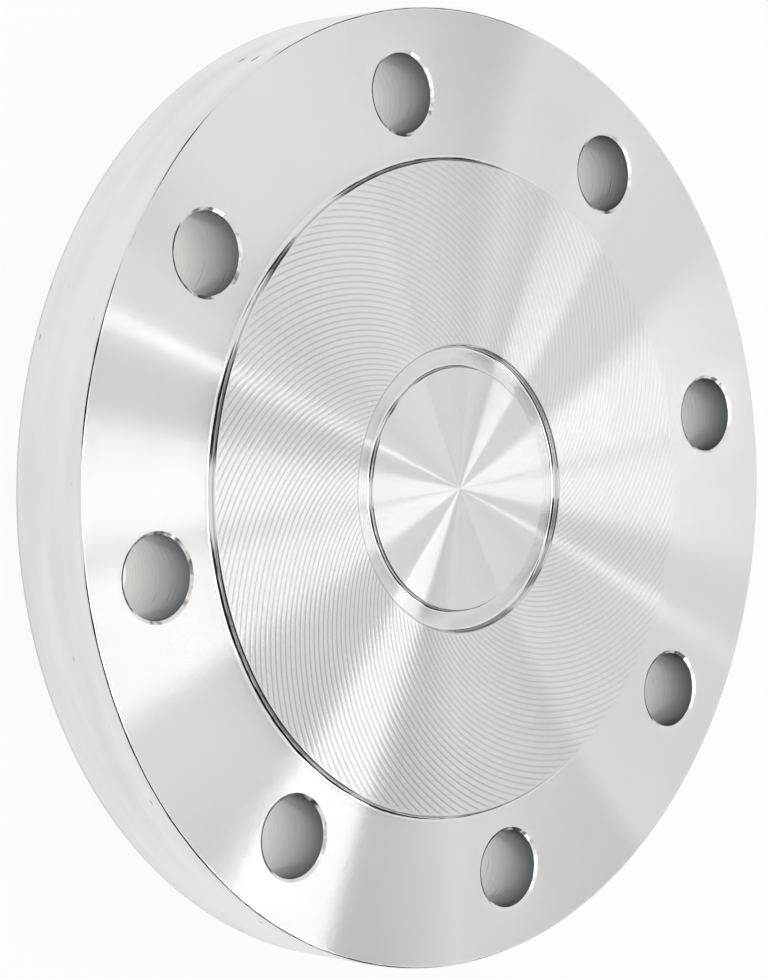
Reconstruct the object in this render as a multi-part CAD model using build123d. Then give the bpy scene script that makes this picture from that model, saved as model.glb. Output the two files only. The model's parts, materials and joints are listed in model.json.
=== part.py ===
from build123d import *
import math
import os

os.makedirs("parts", exist_ok=True)

# Blind flange for a four-inch pipe, pressure class 150, turned from one forging.
# It lies on its plain back face, the sealing face looks up along +Z, and the
# origin is the centre of the back face. All sizes are in millimetres.

# Bolting ring
bolt_circle_d = 190.5      # circle through the centres of the bolt holes
rim_land = 19.75           # from the bolt circle out to the rim
ring_t = 23.0              # thickness of the ring that the bolts pass through
rim_break = 0.65           # chamfer on the ring's front outer edge
back_break = 0.6           # chamfer on the ring's back outer edge

# Bolt holes
bolt_count = 8
bolt_hole_d = 19.05        # for a 5/8 inch stud
mouth_break = 0.75         # width of the chamfer round each hole on the front
back_mouth_break = 0.5     # width of the chamfer round each hole on the back
mouth_slope = 30           # degrees that these chamfers fall, cut with a 120 degree tool

# Raised sealing face
seat_land = 16.65          # from the bolt circle in to the edge of the raised face
raised_h = 1.6             # height above the ring
raised_root_r = 1.3        # radius that the tool left at the foot of the step
raised_edge_break = 0.2    # tiny chamfer on the top edge of the step

# Centre of the face: a smooth disc inside a relief groove
centre_d = 58.5
centre_drop = 0.7          # how far the disc lies below the sealing face
relief_w = 5.1             # width of the relief groove round the disc
relief_depth = 1.8         # below the sealing face
relief_root_r = 0.9        # radius at both corners of the groove's floor
relief_edge_break = 0.15   # tiny chamfer on the groove's two top edges

overshoot = 1.0            # how far a cut runs past the surface that it opens

# Levels and radii that follow from the sizes above
raised_top_z = ring_t + raised_h
centre_top_z = raised_top_z - centre_drop
relief_floor_z = raised_top_z - relief_depth
bolt_circle_r = bolt_circle_d / 2
flange_r = bolt_circle_r + rim_land
raised_r = bolt_circle_r - seat_land
centre_r = centre_d / 2
relief_r = centre_r + relief_w
bolt_hole_r = bolt_hole_d / 2
mouth_depth = mouth_break * math.tan(math.radians(mouth_slope))
back_mouth_depth = back_mouth_break * math.tan(math.radians(mouth_slope))


def corner(section, x, z):
    """The corner of the half section that lies at radius x and height z."""
    return min(section.vertices(), key=lambda v: (v.X - x) ** 2 + (v.Y - z) ** 2)


def band(r_in, r_out, z_low, z_high):
    """A rectangle of the half section, from radius r_in to r_out."""
    return Pos((r_in + r_out) / 2, (z_low + z_high) / 2) * Rectangle(r_out - r_in, z_high - z_low)


# Half section of the turned body: the ring, the raised face on it, the relief groove
# cut into the face, and the disc in the middle, which lies a little lower.
section = band(0, flange_r, 0, ring_t)
section += band(0, raised_r, 0, raised_top_z)
section -= band(centre_r, relief_r, relief_floor_z, raised_top_z + overshoot)
section -= band(0, centre_r, centre_top_z, raised_top_z + overshoot)

# The turning tool leaves a radius in each inside corner.
section = fillet(corner(section, raised_r, ring_t), raised_root_r)
relief_floor = [corner(section, centre_r, relief_floor_z), corner(section, relief_r, relief_floor_z)]
section = fillet(relief_floor, relief_root_r)

# Each outside corner is broken with a small chamfer.
relief_edges = [corner(section, centre_r, centre_top_z), corner(section, relief_r, raised_top_z)]
section = chamfer(relief_edges, relief_edge_break)
section = chamfer(corner(section, raised_r, raised_top_z), raised_edge_break)
section = chamfer(corner(section, flange_r, ring_t), rim_break)
section = chamfer(corner(section, flange_r, 0), back_break)

body = revolve(Plane.XZ * section, Axis.Z, 360)

# The bolt holes straddle the X and Y axes, as they do on an installed flange.
drill = Pos(0, 0, ring_t / 2) * Cylinder(bolt_hole_r, ring_t + 2 * overshoot)
front_mouth = Pos(0, 0, ring_t) * Cone(bolt_hole_r, bolt_hole_r + mouth_break, mouth_depth,
                                       align=(Align.CENTER, Align.CENTER, Align.MAX))
back_mouth = Cone(bolt_hole_r + back_mouth_break, bolt_hole_r, back_mouth_depth,
                  align=(Align.CENTER, Align.CENTER, Align.MIN))
cutter = drill + front_mouth + back_mouth
for place in PolarLocations(bolt_circle_r, bolt_count, start_angle=180 / bolt_count):
    body -= place * cutter

flange = body.solid()
flange.label = "flange"
export_step(flange, "parts/flange.step")
print("flange", round(flange.volume), "mm3", flange.bounding_box().size)
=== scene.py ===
# %% [markdown]
# A blind flange closes the end of a pipe. This one is a single piece of stainless steel, turned on a lathe and
# drilled, and it lies on its plain back with the sealing face up. The look of such a part is nearly all in the
# way its fine tool marks catch the light, so the lesson spends most of its time on those marks and on the
# lamps.

# %% Load the solid model as a fixed frame
import json
import math

import bmesh
import bpy
from mathutils import Matrix, Vector, noise

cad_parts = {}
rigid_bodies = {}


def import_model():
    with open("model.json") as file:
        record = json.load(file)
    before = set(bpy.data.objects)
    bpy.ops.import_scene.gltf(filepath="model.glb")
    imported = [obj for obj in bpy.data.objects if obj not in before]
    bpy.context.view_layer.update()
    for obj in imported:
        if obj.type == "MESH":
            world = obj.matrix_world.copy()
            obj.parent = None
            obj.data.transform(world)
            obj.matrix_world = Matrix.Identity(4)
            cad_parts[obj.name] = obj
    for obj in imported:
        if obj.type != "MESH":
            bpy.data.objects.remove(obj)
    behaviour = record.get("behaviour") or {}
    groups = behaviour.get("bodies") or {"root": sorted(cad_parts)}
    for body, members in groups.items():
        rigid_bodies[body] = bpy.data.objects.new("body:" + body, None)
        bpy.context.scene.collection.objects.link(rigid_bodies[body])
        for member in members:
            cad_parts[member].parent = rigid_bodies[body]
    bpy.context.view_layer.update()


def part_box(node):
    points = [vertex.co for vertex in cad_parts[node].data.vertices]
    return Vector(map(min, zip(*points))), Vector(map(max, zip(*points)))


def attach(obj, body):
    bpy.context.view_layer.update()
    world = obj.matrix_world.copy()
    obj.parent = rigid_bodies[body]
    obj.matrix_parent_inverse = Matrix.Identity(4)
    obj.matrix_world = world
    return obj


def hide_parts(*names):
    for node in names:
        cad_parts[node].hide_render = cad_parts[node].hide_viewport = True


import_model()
low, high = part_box("flange")
MM = 0.001
FLANGE_R = (high.x - low.x) / 2
TOP_Z = high.z
print("flange radius and height, mm:", round(FLANGE_R / MM, 2), round(TOP_Z / MM, 2))

# %% [markdown]
# ## The sizes of the turned section
# The solid model was meshed coarsely, and on bright metal each facet would show. So the body is turned again
# here, finely, from the same section: the bolting ring, the raised face, the relief groove and the disc in the
# middle.

# %% Sizes of the section, in metres
RAISED_H = 1.6 * MM
RING_Z = TOP_Z - RAISED_H
RIM_BREAK = 0.65 * MM
BACK_BREAK = 0.6 * MM
RAISED_R = 78.6 * MM
RAISED_ROOT = 1.3 * MM
RAISED_BREAK = 0.2 * MM
RELIEF_R = 34.35 * MM
CENTRE_R = 29.25 * MM
CENTRE_Z = TOP_Z - 0.7 * MM
FLOOR_Z = TOP_Z - 1.8 * MM
RELIEF_ROOT = 0.9 * MM
RELIEF_BREAK = 0.15 * MM
FACE_IN = RELIEF_R + RELIEF_BREAK           # the sealing face lies between these two radii
FACE_OUT = RAISED_R - RAISED_BREAK

# %% Sizes of the bolt holes
BOLT_COUNT = 8
BOLT_CIRCLE_R = 95.25 * MM
HOLE_R = 9.525 * MM
MOUTH_BREAK = 0.75 * MM
BACK_MOUTH_BREAK = 0.5 * MM
MOUTH_FALL = math.tan(math.radians(30))     # the chamfers are cut with a 120 degree tool
print("bolt holes:", BOLT_COUNT, "on a circle of radius", BOLT_CIRCLE_R / MM, "mm")


# %% The half section, from the centre of the face round to the centre of the back
def arc(centre, radius, start, end, steps):
    """Points (r, z) on an arc, with its angles in degrees."""
    points = []
    for i in range(steps + 1):
        angle = math.radians(start + (end - start) * i / steps)
        points.append((centre[0] + radius * math.cos(angle), centre[1] + radius * math.sin(angle)))
    return points


CAP_R = 1.0 * MM             # one flat face closes the middle, as the sectors of a spun point would be slivers
DISC_ROWS = (CAP_R, 8 * MM, 18 * MM, CENTRE_R - RELIEF_BREAK)
FACE_ROWS = 30
ARC_STEPS = 12
EDGE_STEPS = 6

section = [(r, CENTRE_Z) for r in DISC_ROWS]
disc_edge = len(section) - 1
section += [(CENTRE_R, CENTRE_Z - RELIEF_BREAK)]
section += arc((CENTRE_R + RELIEF_ROOT, FLOOR_Z + RELIEF_ROOT), RELIEF_ROOT, 180, 270, ARC_STEPS)
floor_start = len(section) - 1
section += arc((RELIEF_R - RELIEF_ROOT, FLOOR_Z + RELIEF_ROOT), RELIEF_ROOT, 270, 360, ARC_STEPS)
floor_end = floor_start + 1
section += [(RELIEF_R, TOP_Z - RELIEF_BREAK)]
face_start = len(section)
section += [(FACE_IN + (FACE_OUT - FACE_IN) * i / FACE_ROWS, TOP_Z) for i in range(FACE_ROWS + 1)]
face_end = len(section) - 1
section += [(RAISED_R, TOP_Z - RAISED_BREAK)]
section += arc((RAISED_R + RAISED_ROOT, RING_Z + RAISED_ROOT), RAISED_ROOT, 180, 270, ARC_STEPS)
step_end = len(section) - 1
rim_edge = len(section)
section += arc((FLANGE_R - RIM_BREAK, RING_Z - RIM_BREAK), RIM_BREAK, 90, 0, EDGE_STEPS)
rim_top = len(section) - 1
section += [(FLANGE_R, BACK_BREAK), (FLANGE_R - BACK_BREAK, 0), (CAP_R, 0)]
rim_foot = rim_top + 2

# Which finish each span of the section gets. What no span names is turned.
TURNED, DRILLED, DEBURRED, SMOOTH, RIM = range(5)
spans = [(disc_edge, floor_start, SMOOTH), (floor_end, face_start, SMOOTH), (face_end, step_end, SMOOTH),
         (rim_edge, rim_top, SMOOTH), (rim_top, rim_foot, RIM)]
print("points in the half section:", len(section))


# %% Helpers for meshes
def draw_profile(mesh, points):
    """Draws a chain of edges through the points and returns its vertices."""
    chain = [mesh.verts.new(point) for point in points]
    for a, b in zip(chain, chain[1:]):
        mesh.edges.new((a, b))
    return chain


def spin_profile(mesh, steps, angle=math.tau):
    """Spins all that the mesh holds about the Z axis, and joins the ends of a full turn."""
    bmesh.ops.spin(mesh, geom=mesh.verts[:] + mesh.edges[:], cent=(0, 0, 0), axis=(0, 0, 1), angle=angle,
                   steps=steps, use_merge=angle == math.tau)


def make_object(name, mesh):
    """Turns the finished mesh into an object of the scene."""
    thing = bpy.data.objects.new(name, bpy.data.meshes.new(name))
    bpy.context.scene.collection.objects.link(thing)
    mesh.to_mesh(thing.data)
    mesh.free()
    return thing


# %% [markdown]
# ## Turning the body
# Spinning the section about the Z axis is what the lathe did. The number of steps is a multiple of the number
# of chatter waves that the tool left round the face, so that each wave gets the same few columns of the mesh.

# %% Spin the half section
WAVES = 144
COLUMNS = 4
body_mesh = bmesh.new()
row_layer = body_mesh.verts.layers.int.new("row")
for row, vert in enumerate(draw_profile(body_mesh, [(r, 0, z) for r, z in section])):
    vert[row_layer] = row
spin_profile(body_mesh, WAVES * COLUMNS)
rims = [edge for edge in body_mesh.edges if edge.is_boundary]
bmesh.ops.holes_fill(body_mesh, edges=rims, sides=0)
for face in body_mesh.faces:
    rows = [vert[row_layer] for vert in face.verts]
    for first_row, last_row, finish in spans:
        if first_row <= min(rows) < max(rows) <= last_row:
            face.material_index = finish
print("spun body:", len(body_mesh.verts), "points,", len(body_mesh.faces), "faces")

# %% [markdown]
# ## The swirl on the sealing face
# As the tool fed across the face it chattered, and left shallow waves that run outwards in long spirals. Their
# pitch across is 1.75 mm. A ripple of a few hundredths of a millimetre is enough to show as lines.

# %% The shape of the swirl
SWIRL_PITCH = 1.75 * MM
SWIRL_DEPTH = 0.045 * MM
PATCHES_PER_METRE = 55             # the ripple is deeper in some patches than in others
WORN_WAY = (-0.62, 0.785, 0.0)     # towards the side of the face where the swirl is nearly worn away
WORN_SPAN = 38 * MM                # it fades from this far before the centre to this far beyond it
WORN_LEFT = 0.28                   # the share that is left on the worn side
TURN_PER_METRE = 360 / WAVES / SWIRL_PITCH


def swirl_turn(radius):
    """How far, in degrees, the spirals have turned at a radius."""
    return (min(max(radius, FACE_IN), FACE_OUT) - FACE_IN) * TURN_PER_METRE


def left_by_wear(point, radius):
    """The share of the ripple that wear has left at a point, which isn't twisted to its place yet."""
    way = Matrix.Rotation(-math.radians(swirl_turn(radius)), 3, "Z") @ Vector(WORN_WAY)
    worn = (point.dot(way) + WORN_SPAN) / (2 * WORN_SPAN)
    return 1 - (1 - WORN_LEFT) * min(max(worn, 0), 1)


print("swirl turns in all, degrees:", round(swirl_turn(FACE_OUT), 1))

# %% Ripple the face, then twist it into spirals
for vert in body_mesh.verts:
    row = vert[row_layer]
    radius = math.hypot(vert.co.x, vert.co.y)
    angle = math.atan2(vert.co.y, vert.co.x)
    if face_start < row < face_end:
        strength = 0.75 + 0.5 * noise.noise(vert.co * PATCHES_PER_METRE)
        strength *= left_by_wear(vert.co, radius)
        vert.co.z += SWIRL_DEPTH * 0.5 * strength * (math.cos(angle * WAVES) - 1)
    if row >= face_start:
        twisted = angle + math.radians(swirl_turn(radius if row <= face_end else FACE_OUT))
        vert.co.x = radius * math.cos(twisted)
        vert.co.y = radius * math.sin(twisted)
bmesh.ops.recalc_face_normals(body_mesh, faces=body_mesh.faces[:])
flange = make_object("turned_flange", body_mesh)
print("lowest point of the face, mm below its top:",
      round((TOP_Z - min(v.co.z for v in flange.data.vertices if FACE_IN < v.co.xy.length < FACE_OUT
                         and v.co.z > CENTRE_Z)) / MM, 4))

# %% [markdown]
# ## Drilling
# Each cutter is a spun section too: a bore with a wider cone at both ends, which leaves the small chamfer that
# a deburring tool gives each mouth. All eight are cut at once.

# %% One cutter
OVER = 1.0 * MM              # how far a cutter runs past the surface
HOLE_STEPS = 96
SAME_R = 0.01 * MM           # a face of a cutter that leans less than this is part of the bore
FLARE = OVER / MOUTH_FALL
cutter_section = [(0, -OVER), (HOLE_R + BACK_MOUTH_BREAK + FLARE, -OVER),
                  (HOLE_R, BACK_MOUTH_BREAK * MOUTH_FALL), (HOLE_R, RING_Z - MOUTH_BREAK * MOUTH_FALL),
                  (HOLE_R + MOUTH_BREAK + FLARE, RING_Z + OVER), (0, RING_Z + OVER)]
drill_mesh = bmesh.new()
draw_profile(drill_mesh, [(r, 0, z) for r, z in cutter_section])
spin_profile(drill_mesh, HOLE_STEPS)
bmesh.ops.remove_doubles(drill_mesh, verts=drill_mesh.verts[:], dist=0.001 * MM)
for face in drill_mesh.faces:
    heights = [vert.co.z for vert in face.verts]
    radii = [vert.co.xy.length for vert in face.verts]
    in_bore = max(radii) - min(radii) < SAME_R and max(heights) - min(heights) > OVER
    face.material_index = DRILLED if in_bore else DEBURRED
print("faces of one cutter:", len(drill_mesh.faces))

# %% Eight cutters on the bolt circle
bmesh.ops.translate(drill_mesh, verts=drill_mesh.verts[:], vec=(BOLT_CIRCLE_R, 0, 0))
pattern = drill_mesh.verts[:] + drill_mesh.edges[:] + drill_mesh.faces[:]
for k in range(BOLT_COUNT):
    turn = Matrix.Rotation(math.tau * (k + 0.5) / BOLT_COUNT, 3, "Z")
    made = bmesh.ops.duplicate(drill_mesh, geom=pattern)["geom"]
    bmesh.ops.rotate(drill_mesh, verts=[v for v in made if isinstance(v, bmesh.types.BMVert)],
                     cent=(0, 0, 0), matrix=turn)
pattern_verts = [v for v in pattern if isinstance(v, bmesh.types.BMVert)]
bmesh.ops.delete(drill_mesh, geom=pattern_verts, context="VERTS")
bmesh.ops.recalc_face_normals(drill_mesh, faces=drill_mesh.faces[:])
drills = make_object("drills", drill_mesh)
print("faces of all cutters:", len(drills.data.polygons))

# %% Cut the holes
# Each drilled wall and each chamfer keeps the material number of the cutter's face that made it.
finishes = [bpy.data.materials.new(name) for name in
            ("turned_stainless_steel", "drilled_stainless_steel", "deburred_stainless_edge",
             "smooth_stainless_root", "rubbed_stainless_rim")]
for mesh in (flange.data, drills.data):
    for finish in finishes:
        mesh.materials.append(finish)
turned, drilled, deburred, smooth, rubbed = finishes

cut = flange.modifiers.new("drill", "BOOLEAN")
cut.operation = "DIFFERENCE"
cut.solver = "EXACT"
cut.object = drills
bpy.context.view_layer.update()
cut_flange = flange.evaluated_get(bpy.context.evaluated_depsgraph_get())
cut_mesh = bpy.data.meshes.new_from_object(cut_flange)
flange.modifiers.clear()
flange.data = cut_mesh
bpy.data.objects.remove(drills)
print("drilled body:", len(flange.data.vertices), "points, faces of each finish:",
      [sum(p.material_index == i for p in flange.data.polygons) for i in range(len(finishes))])

# %% [markdown]
# ## Sharp edges
# The flats meet their chamfers at a sharp line, while the root radii and the swirl shade smoothly.

# %% Mark edges that turn by more than a set angle as sharp
SHARP = math.radians(24)
shading = bmesh.new()
shading.from_mesh(flange.data)
for face in shading.faces:
    face.smooth = True
for edge in shading.edges:
    edge.smooth = len(edge.link_faces) == 2 and edge.calc_face_angle() < SHARP
shading.to_mesh(flange.data)
print("sharp edges:", sum(not edge.smooth for edge in shading.edges))
shading.free()


# %% [markdown]
# ## Materials
# Colours are written as the hex values that a picture editor shows. Blender works in linear light, so one
# function turns them round.

# %% Helpers for nodes
def hex_to_linear(text):
    channels = [int(text[i:i + 2], 16) / 255 for i in (1, 3, 5)]
    return [c / 12.92 if c <= 0.04045 else ((c + 0.055) / 1.055) ** 2.4 for c in channels] + [1.0]


def add(tree, kind, links=None, **settings):
    """Adds a node, sets its settings and input values, and links its inputs."""
    node = tree.nodes.new(kind)
    for name, value in settings.items():
        if hasattr(node, name):
            setattr(node, name, value)
        else:
            node.inputs[name.replace("_", " ")].default_value = value
    for name, source in (links or {}).items():
        tree.links.new(source, node.inputs[name])
    return node


def fresh_tree(owner):
    """The node tree of a material or a world, emptied."""
    owner.use_nodes = True
    owner.node_tree.nodes.clear()
    return owner.node_tree


def put(tree, socket, value):
    """Gives an input the output of another node, a hex colour or a plain value."""
    if isinstance(value, bpy.types.NodeSocket):
        tree.links.new(value, socket)
    else:
        socket.default_value = hex_to_linear(value) if isinstance(value, str) else value


# %% Helpers that calculate: each operand is a value or the output of another node
def calc(tree, operation, *operands):
    """One calculation on numbers."""
    node = add(tree, "ShaderNodeMath", operation=operation)
    for socket, operand in zip(node.inputs, operands):
        put(tree, socket, operand)
    return node.outputs[0]


def vector_calc(tree, operation, first, second=None):
    """One calculation on vectors. SCALE takes a number as its second operand."""
    node = add(tree, "ShaderNodeVectorMath", operation=operation)
    put(tree, node.inputs[0], first)
    if second is not None:
        put(tree, node.inputs["Scale" if operation == "SCALE" else 1], second)
    return node.outputs["Value" if operation in ("LENGTH", "DOT_PRODUCT") else "Vector"]


def remap(tree, value, source_range, new_range=(0.0, 1.0)):
    """Moves a value from one range to another, and holds it inside the new one."""
    node = add(tree, "ShaderNodeMapRange", {"Value": value})
    node.inputs["From Min"].default_value, node.inputs["From Max"].default_value = source_range
    node.inputs["To Min"].default_value, node.inputs["To Max"].default_value = new_range
    return node.outputs["Result"]


def mix_colours(tree, factor, first, second):
    """A blend of two colours."""
    node = add(tree, "ShaderNodeMix", {0: factor}, data_type="RGBA")
    put(tree, node.inputs[6], first)
    put(tree, node.inputs[7], second)
    return node.outputs[2]


# %% Helpers for marks and for the metal itself
def object_place(tree):
    """The place on the flange, in metres from the centre of its back."""
    return add(tree, "ShaderNodeTexCoord").outputs["Object"]


def height_of(tree, place):
    return add(tree, "ShaderNodeSeparateXYZ", {0: place}).outputs["Z"]


def drawn_out(tree, place, squeeze):
    """The place squeezed in X and Y, which draws marks out along the rim or round a hole."""
    node = add(tree, "ShaderNodeMapping", {"Vector": place})
    node.inputs["Scale"].default_value = (squeeze, squeeze, 1)
    return node.outputs["Vector"]


def mottle(tree, place, size, detail):
    """Noise with patches of about this size."""
    return add(tree, "ShaderNodeTexNoise", {"Vector": place}, Scale=1 / size, Detail=detail).outputs["Fac"]


def bump(tree, height, depth, strength=1.0):
    node = add(tree, "ShaderNodeBump", {"Height": height}, Distance=depth, Strength=strength)
    return node.outputs["Normal"]


def metal(tree, colour, links=None, **settings):
    """The bare metal that ends each of the five materials."""
    shader = add(tree, "ShaderNodeBsdfPrincipled", links, Metallic=1.0, **settings)
    put(tree, shader.inputs["Base Color"], colour)
    add(tree, "ShaderNodeOutputMaterial", {"Surface": shader.outputs["BSDF"]})


# %% [markdown]
# ## Turned stainless steel
# A facing tool leaves one fine groove per turn of the work, a scallop 0.125 mm wide. Light leaves such a groove
# spread out across it and hardly at all along it, which is what draws the bright streaks from the centre to the
# rim. The scallops are too fine to be seen one by one, so a bump would only blur, and the normal is leaned by
# the slope of the scallop instead. It leans along the tangent of the shader, which points across the marks,
# outwards on the flats.

# %% Feed marks on the turned faces
FEED = 0.125 * MM
FEED_SLOPE = 0.64            # steepest slope at the sides of a mark, on the face and the disc
RING_SLOPE = 0.55            # the same on the bolting ring
SLOPE_CHANGE = 2 * MM        # the slope changes over this width, just outside the raised face
tree = fresh_tree(turned)
place = object_place(tree)
normal = add(tree, "ShaderNodeNewGeometry").outputs["Normal"]
round_axis = vector_calc(tree, "CROSS_PRODUCT", place, (0, 0, 1))
tangent = vector_calc(tree, "NORMALIZE", vector_calc(tree, "CROSS_PRODUCT", normal, round_axis))
reach = vector_calc(tree, "LENGTH", vector_calc(tree, "MULTIPLY", place, (1, 1, 0)))
run = calc(tree, "SUBTRACT", reach, height_of(tree, place))
across_mark = calc(tree, "SUBTRACT", calc(tree, "FRACT", calc(tree, "DIVIDE", run, FEED)), 0.5)
steepness = remap(tree, reach, (RAISED_R, RAISED_R + SLOPE_CHANGE), (2 * FEED_SLOPE, 2 * RING_SLOPE))
lean = vector_calc(tree, "SCALE", tangent, calc(tree, "MULTIPLY", across_mark, steepness))
marks = vector_calc(tree, "NORMALIZE", vector_calc(tree, "ADD", normal, lean))
print("feed marks, mm:", FEED / MM, "apart")

# %% Wear: broad clouds change the gloss and the tone a little
CLOUD = 40 * MM
clouds = mottle(tree, place, CLOUD, 4.0)
gloss = remap(tree, clouds, (0.3, 0.7), (0.15, 0.19))
tone = mix_colours(tree, clouds, "#DEDEDC", "#D8D8D6")
print("clouds, mm:", CLOUD / MM, "wide")

# %% Painted shade draws a thin line in each hollow of the swirl, and the swirl is nearly worn away on one side of the face
LINE_TONE = 0.3               # how much darker the line is
PLAIN_TONE = 1.03             # the tone of all the turned steel that isn't in a line
FADE = 1 * MM                 # the lines fade over this width at both edges of the face
parts = add(tree, "ShaderNodeSeparateXYZ", {0: place})
angle = calc(tree, "ARCTAN2", parts.outputs["Y"], parts.outputs["X"])
lag = calc(tree, "SUBTRACT", calc(tree, "MULTIPLY", angle, WAVES),
           calc(tree, "MULTIPLY", reach, math.tau / SWIRL_PITCH))
phase = calc(tree, "ADD", lag, FACE_IN * math.tau / SWIRL_PITCH)
hollow = remap(tree, calc(tree, "COSINE", phase), (-0.3, -0.9))
on_face = calc(tree, "MULTIPLY", remap(tree, reach, (FACE_IN, FACE_IN + FADE)),
               remap(tree, reach, (FACE_OUT, FACE_OUT - FADE)))
patches = remap(tree, clouds, (0.3, 0.65), (0.5, 1.0))
worn_side = vector_calc(tree, "DOT_PRODUCT", place, WORN_WAY)
kept = remap(tree, worn_side, (-WORN_SPAN, WORN_SPAN), (1.0, WORN_LEFT))
shown = calc(tree, "MULTIPLY", calc(tree, "MULTIPLY", on_face, patches), kept)
# Painted shade: the hollows of the swirl are drawn darker in colour.
line = calc(tree, "MULTIPLY", hollow, shown)
swirl_line_shade = calc(tree, "MULTIPLY_ADD", line, -LINE_TONE, PLAIN_TONE)
print("swirl lines:", WAVES)

# %% A thin line of painted shade runs round the inner edge of the face, and the metal is put together
EDGE_LINE = 0.4 * MM
EDGE_TONE = 0.45
# Painted shade: the face darkens along its inner edge, beside the groove.
face_edge = remap(tree, reach, (FACE_IN, FACE_IN + EDGE_LINE), (1 - EDGE_TONE, 1.0))
past_disc = remap(tree, reach, (FACE_IN - 1 * MM, FACE_IN))
on_edge = add(tree, "ShaderNodeMix", {0: past_disc, 3: face_edge}, data_type="FLOAT")
on_edge.inputs[2].default_value = 1.0
swirl_and_edge_shade = calc(tree, "MULTIPLY", swirl_line_shade, on_edge.outputs[0])
metal(tree, vector_calc(tree, "SCALE", tone, swirl_and_edge_shade),
      {"Tangent": tangent, "Normal": marks, "Roughness": gloss}, Anisotropic=1.0)
print("nodes of the turned steel:", len(tree.nodes))

# %% [markdown]
# ## Roots and broken edges
# The root of the step, the corners of the groove and the broken edges were cut by the nose of the tool in one
# pass, with no feed marks, so they shine like a mirror and show the black cards as dark lines with bright
# borders. A faint ripple along the cut breaks those lines up into glints.

# %% Smooth roots and edges
RIPPLE = 0.5 * MM
RIPPLE_DEPTH = 0.05 * MM
ALONG = 0.06                  # the ripple is drawn out along the cut by this factor
tree = fresh_tree(smooth)
place = object_place(tree)
flat = vector_calc(tree, "MULTIPLY", place, (1, 1, 0))
run = calc(tree, "SUBTRACT", vector_calc(tree, "LENGTH", flat), height_of(tree, place))
across_cut = add(tree, "ShaderNodeCombineXYZ", {"Z": run}).outputs["Vector"]
spot = vector_calc(tree, "ADD", vector_calc(tree, "SCALE", flat, ALONG), across_cut)
rippled = bump(tree, mottle(tree, spot, RIPPLE, 2.0), RIPPLE_DEPTH)
metal(tree, "#DCDCDA", {"Normal": rippled}, Roughness=0.1)
print("nodes of the smooth roots:", len(tree.nodes))

# %% [markdown]
# ## Drilled walls and deburred edges
# A twist drill tears a little, so the walls of the holes are greyer than the turned faces. Painted shade
# darkens them from palest near the back to darkest at the front mouth. Faint rings and a few scores run round
# them. The chamfers at their mouths were cut last, by a small tool that shook.

# %% Drilled stainless steel
DRILL_MARK = 0.6 * MM
SCORE = 1.1 * MM
MARK_DEPTH = 0.06 * MM
RING_SHARE = 0.25             # the rings are this deep beside the scores
PALE_Z = 2 * MM               # below this height the wall is at its palest
tree = fresh_tree(drilled)
place = object_place(tree)
rings = mottle(tree, drawn_out(tree, place, 0.03), DRILL_MARK, 5.0)
scores = remap(tree, mottle(tree, drawn_out(tree, place, 0.09), SCORE, 1.0), (0.7, 0.78))
torn = bump(tree, calc(tree, "SUBTRACT", calc(tree, "MULTIPLY", rings, RING_SHARE), scores), MARK_DEPTH, 0.8)
# Painted shade: the wall darkens from its palest near the back to darkest at the front mouth.
wall_tone_and_shade = mix_colours(tree, remap(tree, height_of(tree, place), (PALE_Z, RING_Z)), "#D8D8D3", "#6C7174")
flecked = vector_calc(tree, "SCALE", wall_tone_and_shade, remap(tree, rings, (0.0, 1.0), (0.9, 1.1)))
upward = add(tree, "ShaderNodeCombineXYZ", Z=1.0).outputs["Vector"]
metal(tree, flecked, {"Normal": torn, "Tangent": upward}, Roughness=0.24, Anisotropic=0.2)
print("nodes of the drilled steel:", len(tree.nodes))

# %% Deburred edge
CHATTER = 3.5 * MM
CHATTER_DEPTH = 0.3 * MM
tree = fresh_tree(deburred)
wavy = bump(tree, mottle(tree, object_place(tree), CHATTER, 1.0), CHATTER_DEPTH)
metal(tree, "#DCDCDA", {"Normal": wavy}, Roughness=0.2)
print("nodes of the deburred edge:", len(tree.nodes))

# %% [markdown]
# ## The rim
# The rim was turned once and then handled, stacked and rolled on the floor, so it is pale and satin, with faint
# smudges along it, a few short nicks, and no streaks. Just above the back edge, where it meets the floor,
# painted shade darkens it a little.

# %% Rubbed rim
SMUDGE = 7 * MM
NICK = 1.6 * MM
FOOT_SHADE_TOP = BACK_BREAK * 2.2
tree = fresh_tree(rubbed)
place = object_place(tree)
smudges = remap(tree, mottle(tree, drawn_out(tree, place, 0.16), SMUDGE, 6.0), (0.42, 0.75))
pale = mix_colours(tree, smudges, "#EBEBE9", "#DFDFDE")
nicks = remap(tree, mottle(tree, drawn_out(tree, place, 0.35), NICK, 0.0), (0.82, 0.9))
nicked = mix_colours(tree, nicks, pale, "#8E8F8E")
# Painted shade: the rim darkens towards its back edge, where it meets the floor.
foot_shade = remap(tree, height_of(tree, place), (BACK_BREAK, FOOT_SHADE_TOP), (0.7, 1.0))
metal(tree, vector_calc(tree, "SCALE", nicked, foot_shade), Roughness=0.3)
print("nodes of the rubbed rim:", len(tree.nodes))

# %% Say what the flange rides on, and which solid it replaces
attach(flange, "root")
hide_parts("flange")

# %% [markdown]
# ## The floor
# The flange lies on white paper that seems to glow, in the camera and in its reflection, as it does in a
# picture for a catalogue. It still takes a faint shadow.

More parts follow.
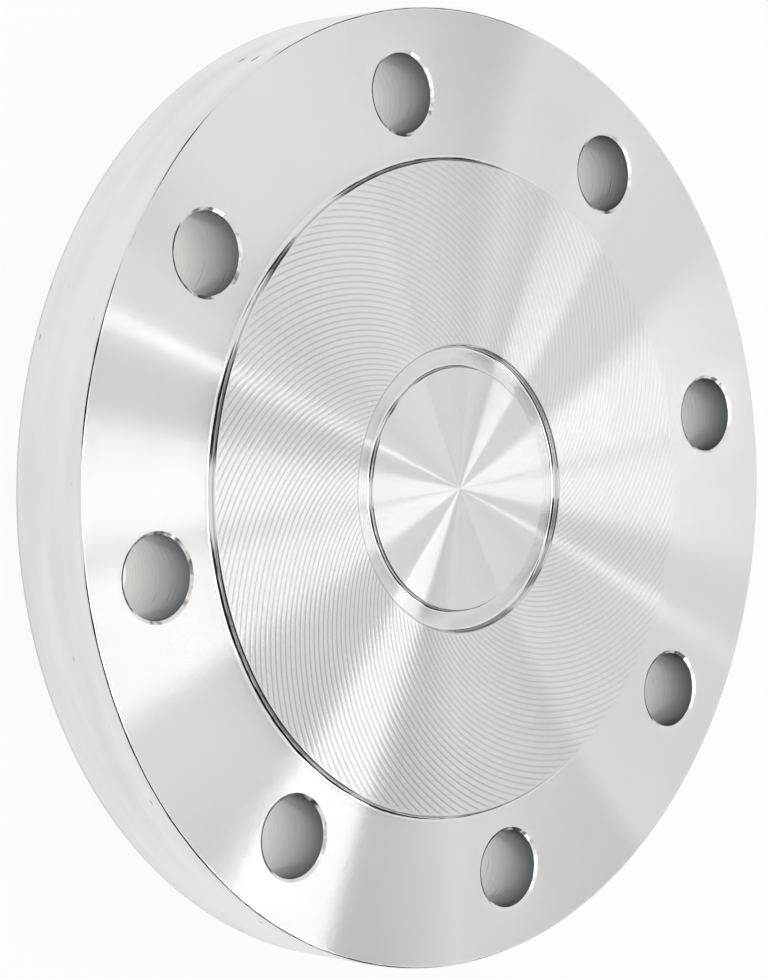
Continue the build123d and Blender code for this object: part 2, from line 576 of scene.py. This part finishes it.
# %% Floor
FLOOR_SIDE = 6.0
GLOW_SHARE = 0.92
floor_mesh = bmesh.new()
bmesh.ops.create_grid(floor_mesh, x_segments=1, y_segments=1, size=FLOOR_SIDE / 2)
floor = make_object("floor", floor_mesh)
white = bpy.data.materials.new("white_paper")
tree = fresh_tree(white)
paper = add(tree, "ShaderNodeBsdfDiffuse", Color=hex_to_linear("#F4F4F4"))
glow = add(tree, "ShaderNodeEmission", Strength=1.0)
ray = add(tree, "ShaderNodeLightPath")
seen = calc(tree, "MAXIMUM", ray.outputs["Is Camera Ray"], ray.outputs["Is Glossy Ray"])
share = calc(tree, "MULTIPLY", seen, GLOW_SHARE)
both = add(tree, "ShaderNodeMixShader", {0: share, 1: paper.outputs[0], 2: glow.outputs[0]})
add(tree, "ShaderNodeOutputMaterial", {"Surface": both.outputs[0]})
floor.data.materials.append(white)
print("floor, m:", FLOOR_SIDE)

# %% [markdown]
# ## The room
# Metal shows the room it stands in. The room is white, as in a light tent, and dark cards hang in it: tall ones
# to the left and right of the camera, with a gap between them, and low ones beside them. They draw the dark
# lines in the roots and edges, and the gap and the spaces between the cards draw the glints.

# %% The white room
world = bpy.data.worlds.new("studio")
bpy.context.scene.world = world
tree = fresh_tree(world)
back = add(tree, "ShaderNodeBackground", Color=hex_to_linear("#FFFFFF"), Strength=1.0)
add(tree, "ShaderNodeOutputWorld", {"Surface": back.outputs[0]})

# %% Black cards
TOP_HOLE = 202.5           # azimuth of the bolt hole that is at the top of the picture
CARD_DISTANCE = 2.0
CARD_STEPS = 48
black = bpy.data.materials.new("black_card")
tree = fresh_tree(black)
card_face = add(tree, "ShaderNodeBsdfDiffuse", Color=hex_to_linear("#2C2C2C"))
add(tree, "ShaderNodeOutputMaterial", {"Surface": card_face.outputs[0]})


def direction(azimuth, elevation):
    a, e = math.radians(azimuth), math.radians(elevation)
    return Vector((math.cos(e) * math.cos(a), math.cos(e) * math.sin(a), math.sin(e)))


def card(name, azimuth_from, azimuth_to, bottom, top):
    """A bent card that stands round the flange. The azimuths start at the top hole."""
    mesh = bmesh.new()
    draw_profile(mesh, [direction(TOP_HOLE + azimuth_from, e) * CARD_DISTANCE for e in (bottom, top)])
    spin_profile(mesh, CARD_STEPS, math.radians(azimuth_to - azimuth_from))
    piece = make_object(name, mesh)
    piece.data.materials.append(black)
    piece.visible_camera = False
    print(name, "from elevation", bottom, "to", top)


card("near_right_card", 35, 71, 10, 68)
card("near_left_card", 96, 138, 10, 62)
card("left_card", 138, 213, 10, 48)
card("low_card", 213, 235, 2, 14)
card("side_card", 295, 340, 2, 26)
card("post_card", 0, 13, 2, 60)

# %% [markdown]
# ## The lamps
# Each streak is the picture of one strip lamp. A lamp is placed by the streak it draws: the azimuth of the
# streak on the disc, counter-clockwise from the top hole, and how far along the streak's plane the strip
# reaches.

# %% Strip lamps
VIEW_XY = Vector((0.156, 0.699))     # the way to the camera, seen from above, with the top hole along +X


def streak_direction(azimuth, reach):
    """Where a lamp stands to draw a streak at this azimuth of the disc."""
    a = math.radians(azimuth)
    x = -VIEW_XY.x + reach * math.cos(a)
    y = -VIEW_XY.y + reach * math.sin(a)
    z = math.sqrt(max(0.01, 1 - x * x - y * y))
    return Matrix.Rotation(math.radians(TOP_HOLE), 3, "Z") @ Vector((x, y, z))


def strip(name, azimuth, near, far, width, power, distance=1.5):
    """A strip lamp that lies along one streak, from reach near to reach far, and faces the flange."""
    first = streak_direction(azimuth, near) * distance
    last = streak_direction(azimuth, far) * distance
    middle = (first + last) / 2
    z = middle.normalized()
    y = last - first
    length = y.length
    y = (y - z * y.dot(z)).normalized()
    x = y.cross(z)
    lamp = bpy.data.lights.new(name, "AREA")
    lamp.shape = "RECTANGLE"
    lamp.size, lamp.size_y, lamp.energy = width, length, power
    holder = bpy.data.objects.new(name, lamp)
    bpy.context.scene.collection.objects.link(holder)
    holder.location = middle
    holder.rotation_euler = Matrix((x, y, z)).transposed().to_euler()
    print(name, "length", round(length, 3), "radiance", round(power / (math.pi * length * width), 2))


strip("narrow_strip", 58.4, 0.55, 1.1, 0.045, 0.25)
strip("left_strip", 77.4, 0.55, 0.95, 0.29, 1.08)
strip("right_strip", 96.6, 0.55, 0.95, 0.385, 1.55)
strip("low_strip", 135.0, 0.6, 0.9, 0.165, 0.34, 0.65)

# %% [markdown]
# ## The camera
# It looks down on the flange and is rolled, so that the flange seems to stand on its rim as in the photograph.

# %% Camera
LENS = 108.385
SENSOR = 36.0
CAMERA_AZIMUTH = -80.12
CAMERA_ELEVATION = 45.757
AIM = Vector((4.63, -24.15, 23.0)) * MM
DISTANCE = 690.85 * MM
ROLL = 91.121
camera_data = bpy.data.cameras.new("camera")
camera_data.lens = LENS
camera_data.sensor_width = SENSOR
camera_data.sensor_fit = "AUTO"
camera_data.clip_start = 0.01
camera = bpy.data.objects.new("camera", camera_data)
bpy.context.scene.collection.objects.link(camera)
view = direction(CAMERA_AZIMUTH, CAMERA_ELEVATION)
camera.location = AIM + view * DISTANCE
unrolled = view.to_track_quat("Z", "Y").to_matrix()
camera.rotation_euler = (unrolled @ Matrix.Rotation(math.radians(ROLL), 3, "Z")).to_euler()
bpy.context.scene.camera = camera
bpy.context.scene.view_settings.view_transform = "Standard"
print("camera, mm from its aim:", DISTANCE / MM)
